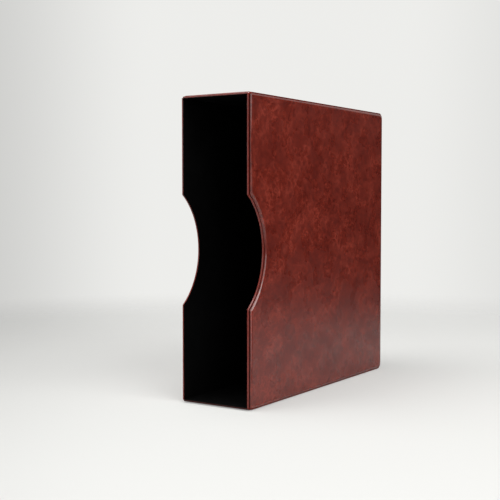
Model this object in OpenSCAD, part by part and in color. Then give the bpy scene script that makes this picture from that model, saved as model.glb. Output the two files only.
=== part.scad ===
// Slipcase for a coin album: boards sealed between a leatherette cover and a black lining.
// The mouth faces -Y, Z is up, and the origin is the middle of the underside. Millimetres.

/* [Album space] */
// Clear width inside, across the spine of the album
clear_w = 59.5; // [24:0.5:120]
// Clear depth inside, from the mouth to the lining of the back
clear_d = 225; // [140:1:320]
// Clear height inside
clear_h = 235; // [150:1:340]

/* [Sheets and boards] */
// Thickness of the black lining
lining_t = 0.4; // [0.2:0.1:0.8]
// Thickness of the boards
board_t = 1.6; // [1.2:0.1:4]
// Thickness of the leatherette cover over the boards
cover_t = 0.5; // [0.3:0.1:1.2]

/* [Thumb notches] */
// Height of a notch along the front edge
notch_h = 86; // [50:1:110]
// Depth of a notch from the front edge
notch_depth = 21; // [10:1:40]

/* [Front welds] */
// Width of the flat weld along the front edges and the notches
weld_w = 2; // [1.2:0.1:4]
// Cover left over the lining in a weld
weld_skin = 0.4; // [0.2:0.1:0.7]
// Width of the raised bead along the cut edge
bead_w = 0.8; // [0.4:0.1:1]
// Rise of the bead above the weld
bead_rise = 0.4; // [0.2:0.1:0.6]

/* [Shoulders] */
// Width over which the cover rises from a weld to its full height
shoulder_w = 1.4; // [0.8:0.1:3]
// Room for the cover between a weld and the edge of a board
board_room = 1; // [0.6:0.1:3]
// Straight pieces that make up the curve of a shoulder
shoulder_steps = 5; // [3:1:8]

/* [Joint seams] */
// Distance from a wall's outer face to the tip of a seam
seam_in = 0.5; // [0.2:0.1:1]
// Half the thickness of a seam, measured along a wall
seam_half = 0.6; // [0.4:0.1:0.8]
// Depth of the groove beside a seam
groove_in = 0.9; // [0.5:0.1:1.1]
// Distance from the inner corner to where a shoulder starts
joint_drop = 0.6; // [0.2:0.1:2]
// Distance from the inner corner to the edge of a board
board_edge = 0.4; // [0.2:0.1:2]
// Distance from the inner corner to the trim at the front end of a seam
trim_start = 0.5; // [0.2:0.1:2]
// Length of the slanted trim at the front end of a seam
trim_len = 6; // [3:0.5:12]

/* [Back corners] */
// Inside radius of the bends between the back and the top and bottom
bend_r = 3.5; // [2:0.5:12]

/* [Hidden] */
$fn = 96;

leatherette = [0.36, 0.10, 0.08];
seam_red = [0.28, 0.07, 0.06];
lining_black = [0.03, 0.03, 0.03];
board_grey = [0.52, 0.50, 0.46];

wall = lining_t + board_t + cover_t;
board_out = lining_t + board_t;
weld_t = lining_t + weld_skin;
case_d = clear_d + wall;
case_h = clear_h + 2 * wall;
board_front = weld_w + board_room;

// The pieces are drawn with the mouth at y = 0 and are then centred on the origin
side_x = clear_w / 2;
back_y = clear_d;
bend_y = back_y - bend_r;
floor_z = wall;
roof_z = wall + clear_h;

notch_r = (notch_h * notch_h / 4 + notch_depth * notch_depth) / (2 * notch_depth);
notch_y = notch_depth - notch_r;
notch_z = case_h / 2;

// Cutters reach this far past the solids that they cut
over = 1;

// Cross-sections at a joint are lists of [u, v]: u is outwards from the side's lining,
// v is outwards from the lining of the wrap, and [0, 0] is the inner corner.
seam_tip = wall - seam_in;
seam_section = [
    [0, 0], [seam_half, 0], [seam_tip, seam_tip - seam_half],
    [seam_tip, seam_tip], [seam_tip - seam_half, seam_tip], [0, seam_half]
];

// Rise of the shoulder that ends in the groove beside a seam
groove_rise = wall + joint_drop - seam_half - groove_in;

// What a joint takes away from the side's cover: the seam and the groove over the shoulder
groove_section = concat(
    [[lining_t - over, 0], [seam_half, 0]],
    [for (i = [shoulder_steps : -1 : 0])
        let (a = 90 * i / shoulder_steps)
        [wall - groove_in * (1 - cos(a)), groove_rise * sin(a) - joint_drop]],
    [[wall + over, -joint_drop], [wall + over, wall + over], [lining_t - over, wall + over]]
);

// What a front edge takes away from a cover, as [distance from the edge, height over the lining]
shoulder_section = concat(
    [[weld_w - over, weld_t]],
    [for (i = [0 : shoulder_steps])
        let (a = 90 * i / shoulder_steps)
        [weld_w + shoulder_w * (1 - cos(a)), weld_t + (wall - weld_t) * sin(a)]],
    [[weld_w + shoulder_w, wall + over], [weld_w - over, wall + over]]
);

function swapped(points) = [for (p = points) [p[1], p[0]]];

// The inside of the case seen from its side, moved outwards by grow and back from the mouth by inset
module inside_outline(grow, inset) {
    r = bend_r + grow;
    height = clear_h + 2 * grow;
    translate([inset, floor_z - grow]) {
        square([bend_y - inset, height]);
        translate([0, r]) square([back_y + grow - inset, height - 2 * r]);
        for (z = [r, height - r]) translate([bend_y - inset, z]) circle(r);
    }
}

// A side panel seen from its side, moved back from the front edge and the notch by inset
module side_outline(grow, inset) {
    difference() {
        inside_outline(grow, inset);
        translate([notch_y, notch_z]) circle(notch_r + inset);
    }
}

// A band along the front edge and the notch of a side panel
module side_band(inset, width) {
    difference() {
        side_outline(0, inset);
        side_outline(over, inset + width);
    }
}

// The wrap seen from its side, between two distances from the lining's face
module wrap_band(inner, outer, inset) {
    difference() {
        inside_outline(outer, inset);
        inside_outline(inner, inset - over);
    }
}

// Stands a shape drawn in the side view up as a layer of the right side panel
module side_layer(inner, outer) {
    translate([side_x + inner, 0, 0]) rotate([90, 0, 90]) linear_extrude(outer - inner) children();
}

// Runs a shape drawn in the side view across the case, with its ends in from the inner corners by edge
module across(edge) {
    translate([edge - side_x, 0, 0]) rotate([90, 0, 90]) linear_extrude(clear_w - 2 * edge) children();
}

module centred() {
    translate([0, -case_d / 2, 0]) children();
}

module on_left() {
    mirror([1, 0, 0]) children();
}

module upside_down() {
    translate([0, 0, case_h]) mirror([0, 0, 1]) children();
}

// A section swept along the upper half of the right side's joint: the top, the bend and half of the back
module joint_half(section, lead) {
    outline = [for (p = section) [p[0], bend_r + p[1]]];
    translate([side_x, bend_y, roof_z - bend_r]) {
        rotate([90, 0, 0]) linear_extrude(bend_y + lead) polygon(outline);
        rotate([90, 0, 90]) rotate_extrude(angle = 90) polygon(swapped(outline));
        mirror([0, 0, 1]) linear_extrude(clear_h / 2 - bend_r + over) polygon(outline);
    }
}

// A section swept along the top, the back and the bottom edge of the right side
module joint_sweep(section, lead = 0) {
    joint_half(section, lead);
    upside_down() joint_half(section, lead);
}

// Slanted trim where the seams end at the mouth
module seam_trims() {
    reach = 2 * wall + over;
    slope = (2 * wall - trim_start) / trim_len;
    start = [(trim_start - slope * over) / sqrt(2), -over];
    end = [reach / sqrt(2), (reach - trim_start) / slope];
    for (side = [0, 1], end_z = [0, 1])
        mirror([side, 0, 0]) translate([0, 0, end_z * case_h]) mirror([0, 0, end_z])
            translate([side_x, 0, floor_z]) rotate([0, 45, 0])
                linear_extrude(4 * wall, center = true) polygon([start, end, [end[0], -over]]);
}

// Shoulder of a side cover along the straight front edge and round the notch
module side_shoulder() {
    translate([side_x, 0, -over]) linear_extrude(case_h + 2 * over) polygon(swapped(shoulder_section));
    translate([side_x, notch_y, notch_z]) rotate([90, 0, 90]) rotate_extrude()
        polygon([for (p = shoulder_section) [notch_r + p[0], p[1]]]);
}

// Shoulder of the wrap along the front edge of the top
module top_shoulder() {
    translate([-side_x - wall - over, 0, roof_z]) rotate([90, 0, 90])
        linear_extrude(clear_w + 2 * wall + 2 * over) polygon(shoulder_section);
}

module side_board() {
    color(board_grey) side_layer(lining_t, board_out) side_outline(-board_edge, board_front);
}

module side_lining() {
    color(lining_black) side_layer(0, lining_t) side_outline(0, weld_w);
}

module side_cover() {
    color(leatherette) difference() {
        side_layer(lining_t, wall) side_outline(wall, weld_w);
        side_layer(lining_t - over, board_out) side_outline(-board_edge, board_front);
        joint_sweep(groove_section, over);
        side_shoulder();
        seam_trims();
    }
}

module side_front_weld() {
    color(seam_red) {
        side_layer(0, weld_t) side_band(0, weld_w);
        side_layer(0, weld_t + bead_rise) side_band(0, bead_w);
    }
}

module joint_weld() {
    color(seam_red) difference() {
        joint_sweep(seam_section);
        seam_trims();
    }
}

module flat_board() {
    color(board_grey) translate([board_edge - side_x, board_front, roof_z + lining_t])
        cube([clear_w - 2 * board_edge, bend_y - board_front, board_t]);
}

module back_board() {
    color(board_grey) translate([board_edge - side_x, back_y + lining_t, floor_z + bend_r])
        cube([clear_w - 2 * board_edge, board_t, clear_h - 2 * bend_r]);
}

module wrap_lining() {
    color(lining_black) across(0) wrap_band(0, lining_t, weld_w);
}

module wrap_cover() {
    color(leatherette) difference() {
        across(-wall) wrap_band(lining_t, wall, weld_w);
        across(board_edge) wrap_band(lining_t - over, board_out, board_front);
        for (side = [0, 1]) mirror([side, 0, 0]) joint_sweep(swapped(groove_section), over);
        top_shoulder();
        upside_down() top_shoulder();
        seam_trims();
    }
}

module top_front_weld() {
    color(seam_red) translate([-side_x, 0, roof_z]) {
        cube([clear_w, weld_w, weld_t]);
        cube([clear_w, bead_w, weld_t + bead_rise]);
    }
}

centred() on_left() side_board();  // left_side_board
centred() side_board();  // right_side_board
centred() flat_board();  // top_board
centred() upside_down() flat_board();  // bottom_board
centred() back_board();
centred() on_left() side_lining();  // left_side_lining
centred() side_lining();  // right_side_lining
centred() wrap_lining();
centred() on_left() side_cover();  // left_side_cover
centred() side_cover();  // right_side_cover
centred() wrap_cover();
centred() on_left() side_front_weld();  // left_front_weld
centred() side_front_weld();  // right_front_weld
centred() top_front_weld();
centred() upside_down() top_front_weld();  // bottom_front_weld
centred() on_left() joint_weld();  // left_joint_weld
centred() joint_weld();  // right_joint_weld
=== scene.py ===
"""Welded sheets, seams, finishes and a studio for an upright album slipcase."""

import math

import bmesh
import bpy
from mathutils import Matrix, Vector


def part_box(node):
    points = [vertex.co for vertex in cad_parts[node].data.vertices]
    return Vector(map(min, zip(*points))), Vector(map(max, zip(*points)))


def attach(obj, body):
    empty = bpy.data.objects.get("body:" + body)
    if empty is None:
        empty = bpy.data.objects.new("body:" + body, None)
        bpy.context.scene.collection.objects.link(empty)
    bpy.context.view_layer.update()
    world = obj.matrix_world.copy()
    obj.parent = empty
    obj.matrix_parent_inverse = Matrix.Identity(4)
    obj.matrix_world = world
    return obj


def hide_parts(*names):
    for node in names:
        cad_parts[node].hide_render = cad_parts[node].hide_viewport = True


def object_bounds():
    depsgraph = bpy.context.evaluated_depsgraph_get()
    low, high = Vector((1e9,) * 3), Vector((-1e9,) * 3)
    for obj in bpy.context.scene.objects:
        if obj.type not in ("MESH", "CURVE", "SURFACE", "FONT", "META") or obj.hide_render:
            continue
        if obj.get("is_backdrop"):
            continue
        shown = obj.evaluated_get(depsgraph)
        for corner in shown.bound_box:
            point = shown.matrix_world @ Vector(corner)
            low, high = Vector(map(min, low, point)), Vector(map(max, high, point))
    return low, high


bl_info = {
    "name": "Album Slipcase",
    "version": (1, 0, 0),
    "blender": (4, 5, 0),
    "location": "3D View > Sidebar > Slipcase",
    "description": "Builds the welded sheets, seams and finishes of a slipcase around its frame",
    "category": "Object",
}

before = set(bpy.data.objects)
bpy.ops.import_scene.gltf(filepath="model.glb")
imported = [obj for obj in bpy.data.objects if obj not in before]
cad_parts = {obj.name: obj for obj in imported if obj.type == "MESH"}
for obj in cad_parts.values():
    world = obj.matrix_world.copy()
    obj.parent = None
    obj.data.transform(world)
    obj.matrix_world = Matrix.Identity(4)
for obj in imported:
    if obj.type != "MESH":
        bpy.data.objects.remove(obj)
CAD_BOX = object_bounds()
BODY = "root"
ACROSS = (1, 0, 0)
QUARTER = math.pi / 2

# Limits for merging vertices, for taking a vertex as lying on a cut, and for keeping an edge sharp
MERGE_DISTANCE = 1e-6
CUT_SLACK = 1e-7
SHARP_ANGLE = math.radians(38)

# Sizes of the walls and places of their faces, read from the frame
LINING_LOW, LINING_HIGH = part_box("right_side_lining")
SIDE_WELD_LOW, SIDE_WELD_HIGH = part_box("right_front_weld")
TOP_WELD_LOW, TOP_WELD_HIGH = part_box("top_front_weld")
SIDE_X = LINING_LOW.x
LINING = LINING_HIGH.x - SIDE_X
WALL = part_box("right_side_cover")[1].x - SIDE_X
FRONT_Y = TOP_WELD_LOW.y
WELD_WIDTH = TOP_WELD_HIGH.y - FRONT_Y
BEAD_TOP = TOP_WELD_HIGH.z - TOP_WELD_LOW.z
BACK_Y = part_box("wrap_lining")[1].y - LINING
FLOOR_Z = SIDE_WELD_LOW.z
ROOF_Z = SIDE_WELD_HIGH.z
MIDDLE_Z = (FLOOR_Z + ROOF_Z) / 2
NOTCH_DEPTH = SIDE_WELD_HIGH.y - FRONT_Y - WELD_WIDTH
SEAM_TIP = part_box("right_joint_weld")[1].x - SIDE_X

# Places of the materials on the covers and on the front welds; the foot of a shoulder and a weld's groove
# carry painted shade
FIELD, SHOULDER, SHADED_FOOT = range(3)
SHADED_GROOVE, INSIDE, BEAD = range(3)

# Share of a bead's width with the bead's own finish; beyond it the bead's inner slope is as dark as the
# groove, painted shade in the crease
BEAD_SHARE = 0.9

# Places of the two colours and of the result among the sockets of a Mix node
MIX_COLOURS = (6, 7)
MIX_RESULT = 2

# Shift of the marbling by its swirls in metres, and its squeeze along each axis
SWIRL = 0.0018
SQUEEZE = (1, 1, 1.3)

# Ranges of noise that become clouds, patches with veins, polish or fibres, and flecks
CLOUD_RANGE = (0.66, 1.34)
PATCH_RANGE = (0.4, 0.65)
NOISE_RANGE = (0.3, 0.7)
FLECK_RANGE = (0.7, 0.75)

# Value of the noise along the middle of a vein, and how far from it a vein reaches
VEIN_MIDDLE = 0.5
VEIN_WIDTH = 0.06

# Height of the board's fibres in metres
FIBRE_HEIGHT = 0.00004

# Gap that keeps the floor clear of the underside, and the sides of the floor's outline
FLOOR_GAP = 0.0002
FLOOR_SIDES = 96

# Change of the floor's even light to the right of the case and beyond it: two distances and two shares
FLOOR_ASIDE = (-0.4, -0.08, 0.4, 1)
FLOOR_BEYOND = (-0.1, 0.35, 0.95, 1.1)

# Change of the backdrop's light towards its two ends: two parts of the view's right and two shares
BACKDROP_LEFT = (-0.3, -0.09, 0.7, 1)
BACKDROP_RIGHT = (0.15, 0.32, 1, 0.85)

# Direction of the bright part of the room that shows in reflections, and where its soft edge lies
BRIGHT_SKY = (0, 0.514, 0.857)
SKY_EDGE = (0.57, 0.68)

# Place of each softbox, the point that it faces, its width and height, and the property with its power
SOFTBOXES = {
    "top_softbox": ((-0.25, -0.3, 1.3), (0.05, -0.1, 0), (0.8, 0.8), "top_power"),
    "key_softbox": ((0.85, -0.35, 1.1), (0.03, -0.1, 0.1), (0.9, 0.7), "key_power"),
    "side_softbox": ((0.85, -0.75, 0.5), (0, 0, 0.12), (0.6, 0.8), "side_power"),
    "left_fill": ((-0.8, -1.1, 0.4), (0, -0.05, 0.15), (0.6, 0.6), "fill_power"),
}


def length_property(name, description, default):
    """A size in metres that a user can change."""
    return bpy.props.FloatProperty(
        name=name, description=description, default=default, precision=5, unit="LENGTH"
    )


def count_property(name, description, default, lowest):
    """A number of pieces that a user can change."""
    return bpy.props.IntProperty(name=name, description=description, default=default, min=lowest)


def power_property(name, description, default):
    """The power of a lamp, which a user can change."""
    return bpy.props.FloatProperty(name=name, description=description, default=default, unit="POWER")


def colour_property(name, description, default):
    """A colour that a user can change."""
    return bpy.props.FloatVectorProperty(
        name=name, description=description, default=default, subtype="COLOR", min=0, max=1
    )


class SlipcaseShape(bpy.types.PropertyGroup):
    """Sizes of the welds, shoulders and bends."""

    notch_height: length_property("Notch height", "Height of a notch along the front edge", 0.086)
    bend_radius: length_property("Bend radius", "Inside radius of the bends at the back", 0.0035)
    bead_width: length_property("Bead width", "Width of the bead along a cut edge", 0.0009)
    bead_rise: length_property("Bead rise", "Rise of the bead above the weld", 0.0004)
    flare: length_property("Flare", "Outward bend of the top and bottom edges at the mouth", 0.0005)
    shoulder_width: length_property("Shoulder width", "Width of the rise from weld to cover", 0.0014)
    shoulder_fullness: bpy.props.FloatProperty(
        name="Shoulder fullness", description="1 for a flat bevel, 2 for a round shoulder",
        default=1.3, min=1
    )
    groove_depth: length_property("Groove depth", "Depth of the groove beside a joint seam", 0.0006)
    shoulder_drop: length_property("Shoulder drop", "Distance of a shoulder from the corner", 0.0009)
    seam_half: length_property("Half seam", "Half a seam's thickness along a wall", 0.00085)
    seam_round: length_property("Seam rounding", "Rounding of the tip of a joint seam", 0.0002)
    trim_start: length_property("Trim start", "Width kept of a seam's end at the mouth", 0.0005)
    trim_length: length_property("Trim length", "Length of the slanted trim of a seam's end", 0.006)
    sheet: length_property("Sheet thickness", "Thickness of the leatherette sheet", 0.0004)
    support: length_property("Support width", "Width of the flat strip beside a shoulder", 0.0006)
    notch_steps: count_property("Notch steps", "Pieces in the arc of a notch", 72, 12)
    bend_steps: count_property("Bend steps", "Pieces in a bend at the back", 14, 4)
    shoulder_steps: count_property("Shoulder steps", "Pieces in the curve of a shoulder", 8, 3)
    seam_steps: count_property("Seam steps", "Pieces in the rounding of a joint seam", 3, 1)


class SlipcaseFinish(bpy.types.PropertyGroup):
    """Colours of the sheets and boards."""

    leather_dark: colour_property("Leather dark", "Dark clouds of the marbling", (0.094, 0.0084, 0.0046))
    leather_red: colour_property("Leather red", "Light clouds of the marbling", (0.164, 0.018, 0.0098))
    leather_vein: colour_property("Leather veins", "Fine veins of the marbling", (0.245, 0.036, 0.022))
    weld_dark: colour_property("Weld dark", "Dark tone of the pressed vinyl", (0.085, 0.0065, 0.0035))
    weld_red: colour_property("Weld red", "Light tone of the pressed vinyl", (0.13, 0.011, 0.006))
    # The groove tones are the pressed weld's own darker vinyl, deepened with painted shade for the crease
    # beside the weld
    groove_shade_dark: colour_property("Groove dark", "Dark tone of the burnished weld", (0.024, 0.0016, 0.001))
    groove_shade_red: colour_property("Groove red", "Light tone of the burnished weld", (0.04, 0.003, 0.0018))
    # The bead tones are paler than the leather: the melted bead's own vinyl with a painted highlight along
    # the cut edge
    bead_highlight_dark: colour_property("Bead dark", "Dark tone of the melted bead", (0.13, 0.02, 0.014))
    bead_highlight_red: colour_property("Bead red", "Light tone of the melted bead", (0.19, 0.031, 0.023))
    # The lining's black is deeper than real black vinyl: painted shade for the inside of the case
    lining_black_and_shade: colour_property("Lining black", "Black vinyl of the lining", (0.001, 0.001, 0.001))
    lining_rubbed_and_shade: colour_property("Lining rubbed", "Rubbed patches of the lining", (0.002, 0.002, 0.0021))
    board_grey: colour_property("Board grey", "Grey board inside the walls", (0.34, 0.32, 0.28))
    board_dark: colour_property("Board dark", "Dark fibres of the board", (0.24, 0.22, 0.19))
    board_fleck: colour_property("Board flecks", "Dark flecks in the board", (0.09, 0.08, 0.07))


class SlipcaseStage(bpy.types.PropertyGroup):
    """Camera, floor and lamps."""

    camera_place: bpy.props.FloatVectorProperty(
        name="Camera place", description="Where the camera stands", unit="LENGTH",
        subtype="TRANSLATION", default=(0.4312, -0.7264, 0.1593)
    )
    camera_tilt: bpy.props.FloatProperty(
        name="Camera tilt", description="Angle of the view from straight down",
        default=math.radians(87.063), subtype="ANGLE"
    )
    camera_turn: bpy.props.FloatProperty(
        name="Camera turn", description="Turn of the view to the left of straight ahead",
        default=math.radians(33.067), subtype="ANGLE"
    )
    lens: bpy.props.FloatProperty(
        name="Lens", description="Focal length on a 36 mm sensor, in millimetres", default=70.6
    )
    floor_radius: length_property("Floor radius", "Radius of the pale floor", 0.88)
    fade_start: length_property("Fade start", "Radius at which the floor starts to fade", 0.3)
    floor_glow: bpy.props.FloatProperty(
        name="Floor glow", description="Share of the backdrop's even light on the floor",
        default=0.4, min=0, max=1
    )
    floor_colour: colour_property("Floor colour", "Pale paper of the floor", (0.7, 0.7, 0.68))
    floor_shade: colour_property("Floor shade", "Hollows of the paper", (0.67, 0.67, 0.65))
    backdrop: colour_property("Backdrop", "Pale background behind the floor", (0.85, 0.85, 0.83))
    top_power: power_property("Top lamp", "Power of the softbox above, a little to the left", 15.0)
    key_power: power_property("Key lamp", "Power of the softbox high at the right", 13.0)
    side_power: power_property("Side lamp", "Power of the softbox at the front right", 4.0)
    fill_power: power_property("Fill lamp", "Power of the fill light at the front left", 2.4)
    ambient: bpy.props.FloatProperty(
        name="Ambient", description="Strength of the light from all around", default=0.03
    )


def weld_height(shape):
    """Height of a flat weld over the lining's face."""
    return BEAD_TOP - shape.bead_rise


def shoulder_heights(shape):
    """Heights at which the curve of a cover's edge is drawn, from the weld up to the field."""
    low = weld_height(shape)
    groove = WALL - shape.groove_depth
    flank_steps = shape.shoulder_steps // 2
    flank = [low + (groove - low) * i / flank_steps for i in range(flank_steps)]
    turns = [QUARTER * (1 - i / shape.shoulder_steps) for i in range(shape.shoulder_steps + 1)]
    return flank + [WALL - shape.groove_depth * (1 - math.cos(turn)) for turn in turns]


def falling(shape, share):
    """Fall from 1 to 0 along the curve of a shoulder as the share of its rise goes from 0 to 1."""
    return max(1 - share ** shape.shoulder_fullness, 0) ** (1 / shape.shoulder_fullness)


def joint_reach(shape, height):
    """How far a cover reaches past the inner corner of a joint at this height over the lining."""
    groove = WALL - shape.groove_depth
    if height <= groove:
        return height - shape.seam_half
    rise = groove + shape.shoulder_drop - shape.seam_half
    return rise * falling(shape, (height - groove) / shape.groove_depth) - shape.shoulder_drop


def front_inset(shape, height):
    """How far a cover stays behind the front edge at this height over the lining."""
    low = weld_height(shape)
    return WELD_WIDTH + shape.shoulder_width * (1 - falling(shape, (height - low) / (WALL - low)))


def mouth_flare(shape, inset):
    """How far the top and bottom edges bend outwards at this distance from the front edge."""
    return shape.flare * (1 - inset / WELD_WIDTH)


def notch_radius(shape):
    """Radius of the arc of a thumb notch."""
    half = shape.notch_height / 2
    return (half * half + NOTCH_DEPTH * NOTCH_DEPTH) / (2 * NOTCH_DEPTH)


def spin_arc(bm, start, centre, turn, steps):
    """Add an arc of edges about an axis along X and return its first and last vertex."""
    first = bmesh.ops.create_vert(bm, co=start)["vert"][0]
    made = bmesh.ops.spin(bm, geom=[first], cent=centre, axis=ACROSS, angle=turn, steps=steps)
    return first, made["geom_last"][0]


def notch_arc(bm, shape, x, inset):
    """Add the arc of a thumb notch, moved back from its cut edge, from its lower to its upper end."""
    radius = notch_radius(shape)
    centre = Vector((x, FRONT_Y + NOTCH_DEPTH - radius, MIDDLE_Z))
    run = FRONT_Y + inset - centre.y
    half = math.sqrt((radius + inset) ** 2 - run * run)
    start = centre + Vector((0, run, -half))
    return spin_arc(bm, start, centre, 2 * math.atan2(half, run), shape.notch_steps)


def join_ends(bm, *ends):
    """Join each pair of vertices by a straight edge."""
    for first, last in ends:
        bm.edges.new((first, last))


def side_loop(bm, shape, x, reach, inset):
    """Add the closed outline of a side panel and return its edges."""
    seen = set(bm.edges)
    bend_y = BACK_Y - shape.bend_radius
    top_axis = Vector((x, bend_y, ROOF_Z - shape.bend_radius))
    low_axis = Vector((x, bend_y, FLOOR_Z + shape.bend_radius))
    radius = shape.bend_radius + reach
    upper, outer = Vector((0, 0, radius)), Vector((0, radius, 0))
    top_start, top_end = spin_arc(bm, top_axis + upper, top_axis, -QUARTER, shape.bend_steps)
    low_start, low_end = spin_arc(bm, low_axis + outer, low_axis, -QUARTER, shape.bend_steps)
    notch_start, notch_end = notch_arc(bm, shape, x, inset)
    top_front = bm.verts.new((x, FRONT_Y + inset, ROOF_Z + reach))
    low_front = bm.verts.new((x, FRONT_Y + inset, FLOOR_Z - reach))
    join_ends(
        bm, (top_front, top_start), (top_end, low_start), (low_end, low_front),
        (low_front, notch_start), (notch_end, top_front)
    )
    return [edge for edge in bm.edges if edge not in seen]


def front_line(bm, shape, x, inset):
    """Add the open line along a side's front edge and its notch and return its edges."""
    seen = set(bm.edges)
    notch_start, notch_end = notch_arc(bm, shape, x, inset)
    top = bm.verts.new((x, FRONT_Y + inset, ROOF_Z + mouth_flare(shape, inset)))
    low = bm.verts.new((x, FRONT_Y + inset, FLOOR_Z - mouth_flare(shape, inset)))
    join_ends(bm, (low, notch_start), (notch_end, top))
    return [edge for edge in bm.edges if edge not in seen]


def bridge(bm, lines):
    """Span faces between each line of edges and the next and return the faces of each strip."""
    pairs = zip(lines, lines[1:])
    return [bmesh.ops.bridge_loops(bm, edges=low + high)["faces"] for low, high in pairs]


def new_line(geometry, verts):
    """The edges of the geometry that join two of the vertices."""
    kept = set(verts)
    edges = [item for item in geometry if isinstance(item, bmesh.types.BMEdge)]
    return [edge for edge in edges if kept.issuperset(edge.verts)]


def draw_on(bm, edges, move):
    """Extrude a line of edges, move the copy and return its edges and vertices."""
    made = bmesh.ops.extrude_edge_only(bm, edges=edges)["geom"]
    verts = [item for item in made if isinstance(item, bmesh.types.BMVert)]
    bmesh.ops.translate(bm, verts=verts, vec=move)
    return new_line(made, verts), verts


def bend_on(bm, edges, centre, steps):
    """Spin a line of edges a quarter turn about an axis along X and return its last edges."""
    verts = list(dict.fromkeys(vert for edge in edges for vert in edge.verts))
    made = bmesh.ops.spin(
        bm, geom=edges + verts, cent=centre, axis=ACROSS, angle=-QUARTER, steps=steps
    )["geom_last"]
    return new_line(made, [item for item in made if isinstance(item, bmesh.types.BMVert)])


def sweep_round_back(bm, shape, edges, start_y, end_y):
    """Sweep a line of edges along the top, the back and the bottom and return its last edges."""
    bend_y = BACK_Y - shape.bend_radius
    back_run = ROOF_Z - FLOOR_Z - 2 * shape.bend_radius
    edges, _ = draw_on(bm, edges, (0, bend_y - start_y, 0))
    edges = bend_on(bm, edges, (0, bend_y, ROOF_Z - shape.bend_radius), shape.bend_steps)
    edges, _ = draw_on(bm, edges, (0, 0, -back_run))
    edges = bend_on(bm, edges, (0, bend_y, FLOOR_Z + shape.bend_radius), shape.bend_steps)
    edges, _ = draw_on(bm, edges, (0, end_y - bend_y, 0))
    return edges


def trim_corner(bm, shape, side, end):
    """Cut the slanted trim of one front corner and return its edges.

    The side is 1 for right and -1 for left, and the end is 1 for top and -1 for bottom.
    """
    slope = (2 * WALL - shape.trim_start) / shape.trim_length
    corner_z = ROOF_Z if end > 0 else FLOOR_Z
    cut = bmesh.ops.bisect_plane(
        bm, geom=bm.verts[:] + bm.edges[:] + bm.faces[:], dist=CUT_SLACK,
        plane_co=(side * (SIDE_X + shape.trim_start), FRONT_Y, corner_z),
        plane_no=(side, -slope, end), clear_outer=True
    )["geom_cut"]
    return [item for item in cut if isinstance(item, bmesh.types.BMEdge)]


def face_outwards(bm):
    """Merge doubles and turn the faces of a shell outwards, away from the middle of the case."""
    bmesh.ops.remove_doubles(bm, verts=bm.verts, dist=MERGE_DISTANCE)
    bmesh.ops.recalc_face_normals(bm, faces=bm.faces)
    middle = Vector((0, 0, MIDDLE_Z))
    widest = max(bm.faces, key=lambda face: face.calc_area())
    if widest.normal.dot(widest.calc_center_median() - middle) < 0:
        bmesh.ops.reverse_faces(bm, faces=bm.faces)


def shade(bm):
    """Shade the faces smooth and leave the sharp edges crisp."""
    for face in bm.faces:
        face.smooth = True
    for edge in bm.edges:
        edge.smooth = edge.calc_face_angle(0) < SHARP_ANGLE


def make_piece(bm, name, materials, slot, *nodes):
    """Turn a bmesh into a piece that rides on the case and stands for its nodes."""
    mesh = bpy.data.meshes.new(name)
    bm.to_mesh(mesh)
    bm.free()
    for material in materials:
        mesh.materials.append(material)
    piece = bpy.data.objects.new(name, mesh)
    bpy.context.scene.collection.objects.link(piece)
    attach(piece, BODY)
    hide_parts(*nodes)


def mirror_across(bm):
    """Mirror a piece of the right side to the left side."""
    bmesh.ops.scale(bm, vec=(-1, 1, 1), verts=bm.verts)
    bmesh.ops.reverse_faces(bm, faces=bm.faces)


def mirror_down(bm):
    """Mirror a piece of the top to the bottom."""
    bmesh.ops.scale(bm, vec=(1, 1, -1), verts=bm.verts)
    bmesh.ops.translate(bm, vec=(0, 0, 2 * MIDDLE_Z), verts=bm.verts)
    bmesh.ops.reverse_faces(bm, faces=bm.faces)


def on_both_sides(make_mesh, shape):
    """Give the name and the mesh of a piece on the right side, then of its mirror image on the left."""
    yield "right", make_mesh(shape)
    left = make_mesh(shape)
    mirror_across(left)
    yield "left", left


def add_node(tree, kind, settings=None, **values):
    """Add a shader node with settings and values for its inputs, whose names have _ for a space."""
    made = tree.nodes.new(kind)
    for key, value in (settings or {}).items():
        setattr(made, key, value)
    for key, value in values.items():
        made.inputs[key.replace("_", " ")].default_value = value
    return made


def feed(tree, socket, value):
    """Link an input to a socket, or set it to a plain value."""
    if isinstance(value, bpy.types.NodeSocket):
        tree.links.new(value, socket)
    else:
        socket.default_value = value


def calculate(tree, operation, first, second=0):
    """Add a Math node whose two inputs are sockets or numbers and return its result."""
    made = add_node(tree, "ShaderNodeMath", {"operation": operation})
    feed(tree, made.inputs[0], first)
    feed(tree, made.inputs[1], second)
    return made.outputs["Value"]


def reach_along(tree, place, direction):
    """How far a place lies along a direction."""
    made = add_node(tree, "ShaderNodeVectorMath", {"operation": "DOT_PRODUCT"})
    feed(tree, made.inputs[0], place)
    feed(tree, made.inputs[1], direction)
    return made.outputs["Value"]


def remap(tree, value, low, high, to_low=0.0, to_high=1.0):
    """Turn a range of values softly into another range and return the result."""
    made = add_node(
        tree, "ShaderNodeMapRange", {"interpolation_type": "SMOOTHSTEP"},
        From_Min=low, From_Max=high, To_Min=to_low, To_Max=to_high
    )
    tree.links.new(value, made.inputs["Value"])
    return made.outputs["Result"]


def noise(tree, vector, scale, detail, roughness=0.6):
    """Add a noise over a vector, with a scale that is a socket or a number, and return its node."""
    made = add_node(tree, "ShaderNodeTexNoise", Detail=detail, Roughness=roughness)
    feed(tree, made.inputs["Vector"], vector)
    feed(tree, made.inputs["Scale"], scale)
    return made


def blend_colours(tree, share, first, second):
    """Mix two colours, each a socket or a property, by a share and return the colour."""
    made = add_node(tree, "ShaderNodeMix", {"data_type": "RGBA"})
    feed(tree, made.inputs["Factor"], share)
    for index, colour in zip(MIX_COLOURS, (first, second)):
        linked = isinstance(colour, bpy.types.NodeSocket)
        feed(tree, made.inputs[index], colour if linked else (*colour, 1))
    return made.outputs[MIX_RESULT]


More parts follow.
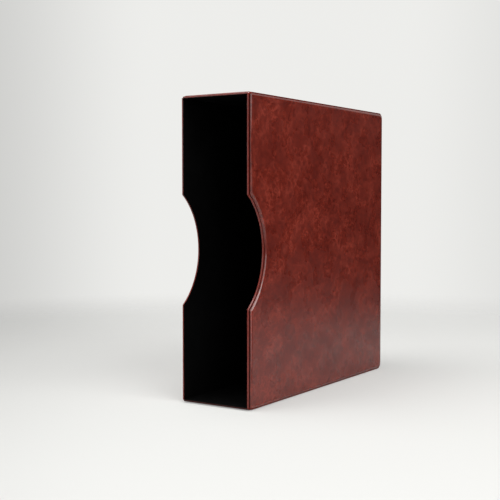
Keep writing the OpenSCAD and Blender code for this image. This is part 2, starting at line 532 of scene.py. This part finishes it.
def new_group(name, inputs, outputs):
    """Make a node group with a Vector and numbers as inputs, and return its tree and end nodes."""
    tree = bpy.data.node_groups.new(name, "ShaderNodeTree")
    tree.interface.new_socket("Vector", in_out="INPUT", socket_type="NodeSocketVector")
    for socket in inputs:
        tree.interface.new_socket(socket, in_out="INPUT", socket_type="NodeSocketFloat")
    for socket in outputs:
        tree.interface.new_socket(socket, in_out="OUTPUT", socket_type="NodeSocketFloat")
    return tree, tree.nodes.new("NodeGroupInput"), tree.nodes.new("NodeGroupOutput")


def marbling_group():
    """Clouds and fine veins of the marbling that is printed on the vinyl."""
    name = "printed_marbling"
    if name in bpy.data.node_groups:
        return bpy.data.node_groups[name]
    inputs = ("Cloud Scale", "Mottle Scale", "Vein Scale")
    tree, start, end = new_group(name, inputs, ("Clouds", "Veins"))
    link = tree.links.new
    squeeze = add_node(tree, "ShaderNodeMapping", Scale=SQUEEZE)
    flow = noise(tree, start.outputs["Vector"], start.outputs["Vein Scale"], detail=2)
    shift = add_node(tree, "ShaderNodeVectorMath", {"operation": "SCALE"}, Scale=SWIRL)
    link(flow.outputs["Color"], shift.inputs["Vector"])
    place = add_node(tree, "ShaderNodeVectorMath", {"operation": "ADD"})
    link(start.outputs["Vector"], place.inputs[0])
    link(shift.outputs["Vector"], place.inputs[1])
    link(place.outputs["Vector"], squeeze.inputs["Vector"])
    moved = squeeze.outputs["Vector"]
    clouds = noise(tree, moved, start.outputs["Cloud Scale"], detail=4, roughness=0.7)
    mottle = noise(tree, moved, start.outputs["Mottle Scale"], detail=1, roughness=1)
    mixed = calculate(tree, "ADD", clouds.outputs["Fac"], mottle.outputs["Fac"])
    link(remap(tree, mixed, *CLOUD_RANGE), end.inputs["Clouds"])
    ridge = noise(tree, moved, start.outputs["Vein Scale"], detail=3)
    offset = calculate(tree, "SUBTRACT", ridge.outputs["Fac"], VEIN_MIDDLE)
    line = remap(tree, calculate(tree, "ABSOLUTE", offset), 0, VEIN_WIDTH, 1, 0)
    patches = remap(tree, clouds.outputs["Fac"], *PATCH_RANGE)
    link(calculate(tree, "MULTIPLY", line, patches), end.inputs["Veins"])
    return tree


def vinyl_group():
    """Height of a vinyl sheet in metres, from its grain and its slow waves, and its polish."""
    name = "vinyl_surface"
    if name in bpy.data.node_groups:
        return bpy.data.node_groups[name]
    inputs = ("Grain Scale", "Grain Depth", "Wave Scale", "Wave Depth")
    tree, start, end = new_group(name, inputs, ("Height", "Polish"))
    link = tree.links.new
    pebbles = add_node(tree, "ShaderNodeTexVoronoi", {"feature": "SMOOTH_F1"}, Smoothness=0.6)
    link(start.outputs["Vector"], pebbles.inputs["Vector"])
    link(start.outputs["Grain Scale"], pebbles.inputs["Scale"])
    grain = calculate(tree, "MULTIPLY", pebbles.outputs["Distance"], start.outputs["Grain Depth"])
    wave = noise(
        tree, start.outputs["Vector"], start.outputs["Wave Scale"], detail=2, roughness=0.5
    )
    swell = calculate(tree, "MULTIPLY", wave.outputs["Fac"], start.outputs["Wave Depth"])
    link(calculate(tree, "SUBTRACT", swell, grain), end.inputs["Height"])
    link(remap(tree, wave.outputs["Fac"], *NOISE_RANGE), end.inputs["Polish"])
    return tree


def add_group(tree, group, vector, **values):
    """Place a node group on a vector with values for its inputs, whose names have _ for a space."""
    made = add_node(tree, "ShaderNodeGroup", {"node_tree": group}, **values)
    tree.links.new(vector, made.inputs["Vector"])
    return made


def new_material(name):
    """A node material, made afresh, and its tree, shader and Object coordinates."""
    material = bpy.data.materials.get(name) or bpy.data.materials.new(name)
    material.use_nodes = True
    tree = material.node_tree
    tree.nodes.clear()
    shader = add_node(tree, "ShaderNodeBsdfPrincipled")
    surface = add_node(tree, "ShaderNodeOutputMaterial")
    tree.links.new(shader.outputs["BSDF"], surface.inputs["Surface"])
    place = add_node(tree, "ShaderNodeTexCoord")
    return material, tree, shader, place.outputs["Object"]


def emboss(tree, shader, height):
    """Let a height in metres shape the shader's normal."""
    bump = add_node(tree, "ShaderNodeBump", Strength=1.0, Distance=1.0)
    tree.links.new(height, bump.inputs["Height"])
    tree.links.new(bump.outputs["Normal"], shader.inputs["Normal"])


def finish_vinyl(tree, shader, tone, surface, rough, gloss):
    """Give a shader its tone, the grain and polish of a vinyl surface, and its level of gloss."""
    tree.links.new(tone, shader.inputs["Base Color"])
    tree.links.new(remap(tree, surface.outputs["Polish"], 0, 1, *rough), shader.inputs["Roughness"])
    shader.inputs["Specular IOR Level"].default_value = gloss
    emboss(tree, shader, surface.outputs["Height"])


def marbled_material(finish, name, grain, rough, gloss):
    """Marbled burgundy leatherette with this depth of grain, range of roughness and level of gloss."""
    material, tree, shader, place = new_material(name)
    marbling = add_group(
        tree, marbling_group(), place, Cloud_Scale=30, Mottle_Scale=220, Vein_Scale=130
    )
    surface = add_group(
        tree, vinyl_group(), place,
        Grain_Scale=900, Grain_Depth=grain, Wave_Scale=60, Wave_Depth=2 * grain
    )
    clouds, veins = marbling.outputs["Clouds"], marbling.outputs["Veins"]
    clouded = blend_colours(tree, clouds, finish.leather_dark, finish.leather_red)
    veined = blend_colours(tree, veins, clouded, finish.leather_vein)
    finish_vinyl(tree, shader, veined, surface, rough, gloss)
    return material


def leatherette_materials(finish):
    """The satin leatherette of a cover, its polished shoulders and the painted shade at their foot."""
    field = marbled_material(
        finish, "marbled_leatherette", grain=0.00001, rough=(0.25, 0.33), gloss=0.4
    )
    shoulder = marbled_material(
        finish, "polished_shoulder", grain=0.000004, rough=(0.15, 0.23), gloss=0.55
    )
    return [field, shoulder, groove_and_shade_material(finish)]


def vinyl_material(name, dark, light, rough, gloss):
    """Smooth vinyl that a weld has pressed or melted, with a trace of its marbling."""
    material, tree, shader, place = new_material(name)
    marbling = add_group(
        tree, marbling_group(), place, Cloud_Scale=60, Mottle_Scale=300, Vein_Scale=260
    )
    surface = add_group(
        tree, vinyl_group(), place,
        Grain_Scale=1400, Grain_Depth=0.000004, Wave_Scale=160, Wave_Depth=0.00003
    )
    tone = blend_colours(tree, marbling.outputs["Clouds"], dark, light)
    finish_vinyl(tree, shader, tone, surface, rough, gloss)
    return material


def seam_material(finish):
    """The pressed edge of a joint seam."""
    return vinyl_material(
        "pressed_seam", finish.weld_dark, finish.weld_red, rough=(0.55, 0.65), gloss=0.06
    )


def groove_and_shade_material(finish):
    """The flat of a front weld and the foot of a shoulder: the weld's darker pressed vinyl, deepened with
    painted shade for the crease.
    """
    return vinyl_material(
        "pressed_groove", finish.groove_shade_dark, finish.groove_shade_red, rough=(0.3, 0.4), gloss=0.2
    )


def bead_and_highlight_material(finish):
    """The bead of melted vinyl along a cut edge, paler than the leather as a painted highlight."""
    return vinyl_material(
        "melted_bead", finish.bead_highlight_dark, finish.bead_highlight_red, rough=(0.2, 0.3), gloss=0.3
    )


def lining_material(finish):
    """Matt black vinyl of the lining, with an embossed grain, its black deepened as painted shade for the
    inside of the case.
    """
    material, tree, shader, place = new_material("black_lining")
    surface = add_group(
        tree, vinyl_group(), place,
        Grain_Scale=1300, Grain_Depth=0.00006, Wave_Scale=50, Wave_Depth=0.0001
    )
    polish = surface.outputs["Polish"]
    tone = blend_colours(tree, polish, finish.lining_black_and_shade, finish.lining_rubbed_and_shade)
    finish_vinyl(tree, shader, tone, surface, rough=(0.65, 0.55), gloss=0.05)
    return material


def board_material(finish):
    """Grey board with pressed fibres and dark flecks."""
    material, tree, shader, place = new_material("grey_board")
    fibres = add_node(tree, "ShaderNodeMapping", Scale=(1, 0.2, 1))
    tree.links.new(place, fibres.inputs["Vector"])
    felt = noise(tree, fibres.outputs["Vector"], scale=1500, detail=3, roughness=0.7)
    flecks = noise(tree, place, scale=700, detail=1)
    fibre = remap(tree, felt.outputs["Fac"], *NOISE_RANGE)
    grey = blend_colours(tree, fibre, finish.board_dark, finish.board_grey)
    specks = remap(tree, flecks.outputs["Fac"], *FLECK_RANGE)
    flecked = blend_colours(tree, specks, grey, finish.board_fleck)
    tree.links.new(flecked, shader.inputs["Base Color"])
    rough = remap(tree, felt.outputs["Fac"], *NOISE_RANGE, to_low=0.95, to_high=0.8)
    tree.links.new(rough, shader.inputs["Roughness"])
    emboss(tree, shader, calculate(tree, "MULTIPLY", felt.outputs["Fac"], FIBRE_HEIGHT))
    return material


def weld_section(shape):
    """Outline of a front weld and its bead, as distance from the edge and height over the lining."""
    flat, rise = weld_height(shape), shape.bead_rise
    half = shape.bead_width / 2
    turns = [math.pi * i / shape.shoulder_steps for i in range(shape.shoulder_steps + 1)]
    bead = [(half + half * math.cos(turn), flat + rise * math.sin(turn)) for turn in turns]
    return [(0, 0), (WELD_WIDTH, 0), (WELD_WIDTH, flat)] + bead + [(0, LINING)]


def side_cover_mesh(shape):
    """The leatherette sheet of the right side."""
    bm = bmesh.new()
    loops = []
    for height in shoulder_heights(shape):
        reach, inset = joint_reach(shape, height), front_inset(shape, height)
        loops.append(side_loop(bm, shape, SIDE_X + height, reach, inset))
    strips = bridge(bm, loops)
    for face in sum(strips, []):
        face.material_index = SHOULDER
    # The foot of the shoulder is painted dark as shade in the crease all round, apart from the notch
    for face in strips[0] + strips[1]:
        if max(abs(vert.co.z - MIDDLE_Z) for vert in face.verts) > shape.notch_height:
            face.material_index = SHADED_FOOT
    field = bmesh.ops.contextual_create(bm, geom=loops[-1])["faces"]
    for face in field:
        face.material_index = FIELD
    bmesh.ops.inset_individual(bm, faces=field, thickness=shape.support, use_even_offset=True)
    face_outwards(bm)
    for end in (1, -1):
        trim_corner(bm, shape, side=1, end=end)
    bmesh.ops.solidify(bm, geom=bm.faces[:], thickness=shape.sheet)
    shade(bm)
    return bm


def lower_to(shape, verts, limit, outer_z, up):
    """Lower the wrap's end to a height over the lining, with its edges along the seams' flanks."""
    reach = SIDE_X + limit - shape.seam_half
    for vert in verts:
        height = min(up * (vert.co.z - outer_z), limit)
        vert.co.z = outer_z + up * height
        vert.co.x = max(-reach, min(reach, vert.co.x))


def mark_wrap_shoulders(bm, shape):
    """Give the wrap's faces beside the front welds the finish of a shoulder."""
    front = FRONT_Y + front_inset(shape, WALL) + shape.support / 2
    for face in bm.faces:
        if max(vert.co.y for vert in face.verts) < front:
            face.material_index = SHOULDER


def wrap_cover_mesh(shape):
    """The leatherette sheet over the top, the back and the bottom."""
    bm = bmesh.new()
    heights = shoulder_heights(shape)
    start_y = FRONT_Y + front_inset(shape, WALL) + shape.support
    right = [(SIDE_X + joint_reach(shape, height), height) for height in heights]
    right.append((right[-1][0] - shape.support, WALL))
    section = right + [(-x, height) for x, height in reversed(right)]
    verts = [bm.verts.new((x, start_y, ROOF_Z + height)) for x, height in section]
    top_line = [bm.edges.new(pair) for pair in zip(verts, verts[1:])]
    bottom_line = sweep_round_back(bm, shape, top_line, start_y, start_y)
    for line, outer_z, up in ((top_line, ROOF_Z, 1), (bottom_line, FLOOR_Z, -1)):
        place = start_y
        for limit in reversed(heights):
            next_place = FRONT_Y + front_inset(shape, limit)
            line, moved = draw_on(bm, line, (0, next_place - place, 0))
            lower_to(shape, moved, limit, outer_z, up)
            place = next_place
    mark_wrap_shoulders(bm, shape)
    face_outwards(bm)
    for side in (1, -1):
        for end in (1, -1):
            trim_corner(bm, shape, side, end)
    bmesh.ops.solidify(bm, geom=bm.faces[:], thickness=shape.sheet)
    shade(bm)
    return bm


def weld_layer(shape, first, last):
    """Place of the material between two corners of a weld's section."""
    reach = max(first[0], last[0])
    if max(first[1], last[1]) <= 0:
        return INSIDE
    # Beyond its own share the bead's inner slope takes the groove's painted shade
    return BEAD if reach < BEAD_SHARE * shape.bead_width else SHADED_GROOVE


def weld_mesh(shape, make_line):
    """A front weld, whose section runs along the lines that make_line adds to its mesh."""
    bm = bmesh.new()
    section = weld_section(shape)
    lines = [make_line(bm, inset, height) for inset, height in section]
    corners = list(zip(section, section[1:] + section[:1]))
    for (first, last), low, high in zip(corners, lines, lines[1:] + lines[:1]):
        for face in bmesh.ops.bridge_loops(bm, edges=low + high)["faces"]:
            face.material_index = weld_layer(shape, first, last)
    ends = [edge for edge in bm.edges if edge.is_boundary]
    for face in bmesh.ops.holes_fill(bm, edges=ends)["faces"]:
        face.material_index = BEAD
    bmesh.ops.recalc_face_normals(bm, faces=bm.faces)
    shade(bm)
    return bm


def side_weld_mesh(shape):
    """The weld along the front edge and the notch of the right side."""
    return weld_mesh(shape, lambda bm, inset, height: front_line(bm, shape, SIDE_X + height, inset))


def top_weld_mesh(shape):
    """The weld along the front edge of the top."""
    def line(bm, inset, height):
        z = ROOF_Z + height + mouth_flare(shape, inset)
        ends = [bm.verts.new((x, FRONT_Y + inset, z)) for x in (-SIDE_X, SIDE_X)]
        return [bm.edges.new(ends)]
    return weld_mesh(shape, line)


def joint_weld_mesh(shape):
    """The welded seam between the right side and the wrap."""
    bm = bmesh.new()
    half = shape.seam_half
    tip = SEAM_TIP
    section = [(0, 0), (half, 0), (tip, tip - half), (tip, tip), (tip - half, tip), (0, half)]
    verts = [bm.verts.new((SIDE_X + u, FRONT_Y, ROOF_Z + v)) for u, v in section]
    bmesh.ops.contextual_create(bm, geom=verts)
    bmesh.ops.bevel(
        bm, geom=verts[2:5], offset=shape.seam_round, affect="VERTICES",
        segments=shape.seam_steps, profile=0.5, material=-1
    )
    last = sweep_round_back(bm, shape, bm.edges[:], FRONT_Y, FRONT_Y)
    bmesh.ops.contextual_create(bm, geom=last)
    bmesh.ops.recalc_face_normals(bm, faces=bm.faces)
    for end in (1, -1):
        bmesh.ops.contextual_create(bm, geom=trim_corner(bm, shape, side=1, end=end))
    bmesh.ops.recalc_face_normals(bm, faces=bm.faces)
    shade(bm)
    return bm


class SLIPCASE_OT_side_covers(bpy.types.Operator):
    """Make the leatherette sheets of both sides"""

    bl_idname = "slipcase.side_covers"
    bl_label = "Side Covers"

    def execute(self, context):
        scene = context.scene
        materials = leatherette_materials(scene.slipcase_finish)
        for name, bm in on_both_sides(side_cover_mesh, scene.slipcase_shape):
            make_piece(bm, name + "_side_sheet", materials, "leatherette", name + "_side_cover")
        return {"FINISHED"}


class SLIPCASE_OT_wrap_cover(bpy.types.Operator):
    """Make the leatherette sheet over the top, the back and the bottom"""

    bl_idname = "slipcase.wrap_cover"
    bl_label = "Wrap Cover"

    def execute(self, context):
        scene = context.scene
        materials = leatherette_materials(scene.slipcase_finish)
        bm = wrap_cover_mesh(scene.slipcase_shape)
        make_piece(bm, "wrap_sheet", materials, "leatherette", "wrap_cover")
        return {"FINISHED"}


class SLIPCASE_OT_front_welds(bpy.types.Operator):
    """Make the four welds round the mouth"""

    bl_idname = "slipcase.front_welds"
    bl_label = "Front Welds"

    def execute(self, context):
        scene = context.scene
        shape = scene.slipcase_shape
        finish = scene.slipcase_finish
        materials = [groove_and_shade_material(finish), lining_material(finish), bead_and_highlight_material(finish)]
        for name, bm in on_both_sides(side_weld_mesh, shape):
            make_piece(bm, name + "_front_bead", materials, "weld_seam", name + "_front_weld")
        for name in ("top", "bottom"):
            bm = top_weld_mesh(shape)
            if name == "bottom":
                mirror_down(bm)
                # The bead of the bottom is as dark as its groove: painted shade, as it faces the floor
                materials[BEAD] = materials[SHADED_GROOVE]
            make_piece(bm, name + "_front_bead", materials, "weld_seam", name + "_front_weld")
        return {"FINISHED"}


class SLIPCASE_OT_joint_welds(bpy.types.Operator):
    """Make the welded seams between the sides and the wrap"""

    bl_idname = "slipcase.joint_welds"
    bl_label = "Joint Welds"

    def execute(self, context):
        scene = context.scene
        material = seam_material(scene.slipcase_finish)
        for name, bm in on_both_sides(joint_weld_mesh, scene.slipcase_shape):
            make_piece(bm, name + "_joint_seam", [material], "weld_seam", name + "_joint_weld")
        return {"FINISHED"}


class SLIPCASE_OT_inner_layers(bpy.types.Operator):
    """Give the linings and the boards their finish"""

    bl_idname = "slipcase.inner_layers"
    bl_label = "Linings and Boards"

    def execute(self, context):
        finish = context.scene.slipcase_finish
        finishes = {"lining": lining_material(finish), "board": board_material(finish)}
        for name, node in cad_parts.items():
            layer = name.split("_")[-1]
            if layer in finishes:
                for slot in node.material_slots:
                    slot.material = finishes[layer]
        return {"FINISHED"}


def view_right(stage):
    """Direction to the right of the camera's view."""
    return math.cos(stage.camera_turn), math.sin(stage.camera_turn), 0


def floor_material(stage):
    """Pale paper that fades out towards its edge."""
    material, tree, shader, place = new_material("pale_paper")
    tooth = noise(tree, place, scale=900, detail=2)
    tint = blend_colours(tree, tooth.outputs["Fac"], stage.floor_shade, stage.floor_colour)
    tree.links.new(tint, shader.inputs["Base Color"])
    shader.inputs["Roughness"].default_value = 0.9
    shader.inputs["Specular IOR Level"].default_value = 0.1
    path = add_node(tree, "ShaderNodeLightPath")
    distance = add_node(tree, "ShaderNodeVectorMath", {"operation": "LENGTH"})
    tree.links.new(place, distance.inputs["Vector"])
    right = view_right(stage)
    aside = reach_along(tree, place, right)
    beyond = reach_along(tree, place, (-right[1], right[0], 0))
    dimmed = calculate(
        tree, "MULTIPLY", remap(tree, aside, *FLOOR_ASIDE), remap(tree, beyond, *FLOOR_BEYOND)
    )
    glow = add_node(tree, "ShaderNodeEmission", Color=(*stage.backdrop, 1))
    tree.links.new(dimmed, glow.inputs["Strength"])
    lifted = add_node(tree, "ShaderNodeMixShader")
    share = calculate(tree, "MULTIPLY", path.outputs["Is Camera Ray"], stage.floor_glow)
    tree.links.new(share, lifted.inputs["Fac"])
    tree.links.new(shader.outputs["BSDF"], lifted.inputs[1])
    tree.links.new(glow.outputs["Emission"], lifted.inputs[2])
    kept = remap(tree, distance.outputs["Value"], stage.fade_start, stage.floor_radius, 1, 0)
    clear = add_node(tree, "ShaderNodeBsdfTransparent")
    fade = add_node(tree, "ShaderNodeMixShader")
    tree.links.new(kept, fade.inputs["Fac"])
    tree.links.new(clear.outputs["BSDF"], fade.inputs[1])
    tree.links.new(lifted.outputs["Shader"], fade.inputs[2])
    tree.links.new(fade.outputs["Shader"], tree.nodes["Material Output"].inputs["Surface"])
    return material


def add_lamp(name, place, target, size, power):
    """Add a rectangular soft lamp that faces a point."""
    data = bpy.data.lights.new(name, "AREA")
    data.shape = "RECTANGLE"
    data.size, data.size_y = size
    data.energy = power
    lamp = bpy.data.objects.new(name, data)
    lamp.location = place
    aim = Vector(target) - Vector(place)
    lamp.rotation_euler = aim.to_track_quat("-Z", "Y").to_euler()
    bpy.context.scene.collection.objects.link(lamp)


class SLIPCASE_OT_stage(bpy.types.Operator):
    """Set up the floor, the lamps and the camera"""

    bl_idname = "slipcase.stage"
    bl_label = "Studio Stage"

    def execute(self, context):
        scene = context.scene
        stage = scene.slipcase_stage
        self.add_floor(scene, stage)
        for name, (place, target, size, power) in SOFTBOXES.items():
            add_lamp(name, place, target, size, getattr(stage, power))
        self.add_world(scene, stage)
        self.add_camera(scene, stage)
        scene.view_settings.view_transform = "Standard"
        return {"FINISHED"}

    def add_floor(self, scene, stage):
        """A round sheet of pale paper under the case."""
        bm = bmesh.new()
        bmesh.ops.create_circle(bm, cap_ends=True, segments=FLOOR_SIDES, radius=stage.floor_radius)
        bmesh.ops.translate(bm, verts=bm.verts, vec=(0, 0, -FLOOR_GAP))
        mesh = bpy.data.meshes.new("studio_floor")
        bm.to_mesh(mesh)
        bm.free()
        mesh.materials.append(floor_material(stage))
        floor = bpy.data.objects.new("studio_floor", mesh)
        scene.collection.objects.link(floor)
        floor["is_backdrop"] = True

    def add_world(self, scene, stage):
        """A pale backdrop for the camera and for reflections of the sky, and a dim light all around."""
        world = bpy.data.worlds.new("studio")
        world.use_nodes = True
        scene.world = world
        tree = world.node_tree
        link = tree.links.new
        dim = tree.nodes["Background"]
        dim.inputs["Color"].default_value = (1, 1, 1, 1)
        dim.inputs["Strength"].default_value = stage.ambient
        path = add_node(tree, "ShaderNodeLightPath")
        direction = add_node(tree, "ShaderNodeTexCoord").outputs["Generated"]
        aside = reach_along(tree, direction, view_right(stage))
        even = calculate(
            tree, "MULTIPLY", remap(tree, aside, *BACKDROP_LEFT), remap(tree, aside, *BACKDROP_RIGHT)
        )
        pale = add_node(tree, "ShaderNodeBackground", Color=(*stage.backdrop, 1))
        link(even, pale.inputs["Strength"])
        sky = remap(tree, reach_along(tree, direction, BRIGHT_SKY), *SKY_EDGE)
        mirrored = calculate(
            tree, "MAXIMUM", path.outputs["Is Glossy Ray"], path.outputs["Is Transmission Ray"]
        )
        reflected = calculate(tree, "MULTIPLY", mirrored, sky)
        shown = calculate(tree, "MAXIMUM", path.outputs["Is Camera Ray"], reflected)
        choose = add_node(tree, "ShaderNodeMixShader")
        link(shown, choose.inputs["Fac"])
        link(dim.outputs["Background"], choose.inputs[1])
        link(pale.outputs["Background"], choose.inputs[2])
        link(choose.outputs["Shader"], tree.nodes["World Output"].inputs["Surface"])

    def add_camera(self, scene, stage):
        """The camera at the viewing angle of the photograph."""
        data = bpy.data.cameras.new("photo_camera")
        data.lens = stage.lens
        data.sensor_width = 36
        camera = bpy.data.objects.new("photo_camera", data)
        camera.location = stage.camera_place
        camera.rotation_euler = (stage.camera_tilt, 0, stage.camera_turn)
        scene.collection.objects.link(camera)
        scene.camera = camera


OPERATORS = (
    SLIPCASE_OT_side_covers,
    SLIPCASE_OT_wrap_cover,
    SLIPCASE_OT_front_welds,
    SLIPCASE_OT_joint_welds,
    SLIPCASE_OT_inner_layers,
    SLIPCASE_OT_stage,
)


class SLIPCASE_PT_panel(bpy.types.Panel):
    """Lists the steps that build the slipcase"""

    bl_label = "Slipcase"
    bl_idname = "SLIPCASE_PT_panel"
    bl_space_type = "VIEW_3D"
    bl_region_type = "UI"
    bl_category = "Slipcase"

    def draw(self, context):
        for operator in OPERATORS:
            self.layout.operator(operator.bl_idname)


GROUPS = {
    "slipcase_shape": SlipcaseShape,
    "slipcase_finish": SlipcaseFinish,
    "slipcase_stage": SlipcaseStage,
}
CLASSES = (*GROUPS.values(), *OPERATORS, SLIPCASE_PT_panel)


def register():
    for item in CLASSES:
        bpy.utils.register_class(item)
    for name, group in GROUPS.items():
        setattr(bpy.types.Scene, name, bpy.props.PointerProperty(type=group))


def unregister():
    for name in GROUPS:
        delattr(bpy.types.Scene, name)
    for item in reversed(CLASSES):
        bpy.utils.unregister_class(item)


def main():
    register()
    bpy.ops.slipcase.side_covers()
    bpy.ops.slipcase.wrap_cover()
    bpy.ops.slipcase.front_welds()
    bpy.ops.slipcase.joint_welds()
    bpy.ops.slipcase.inner_layers()
    bpy.ops.slipcase.stage()
    boxes = {"cad": CAD_BOX, "visual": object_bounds()}
    {name: [list(corner) for corner in box] for name, box in boxes.items()}


if __name__ == "__main__":
    main()
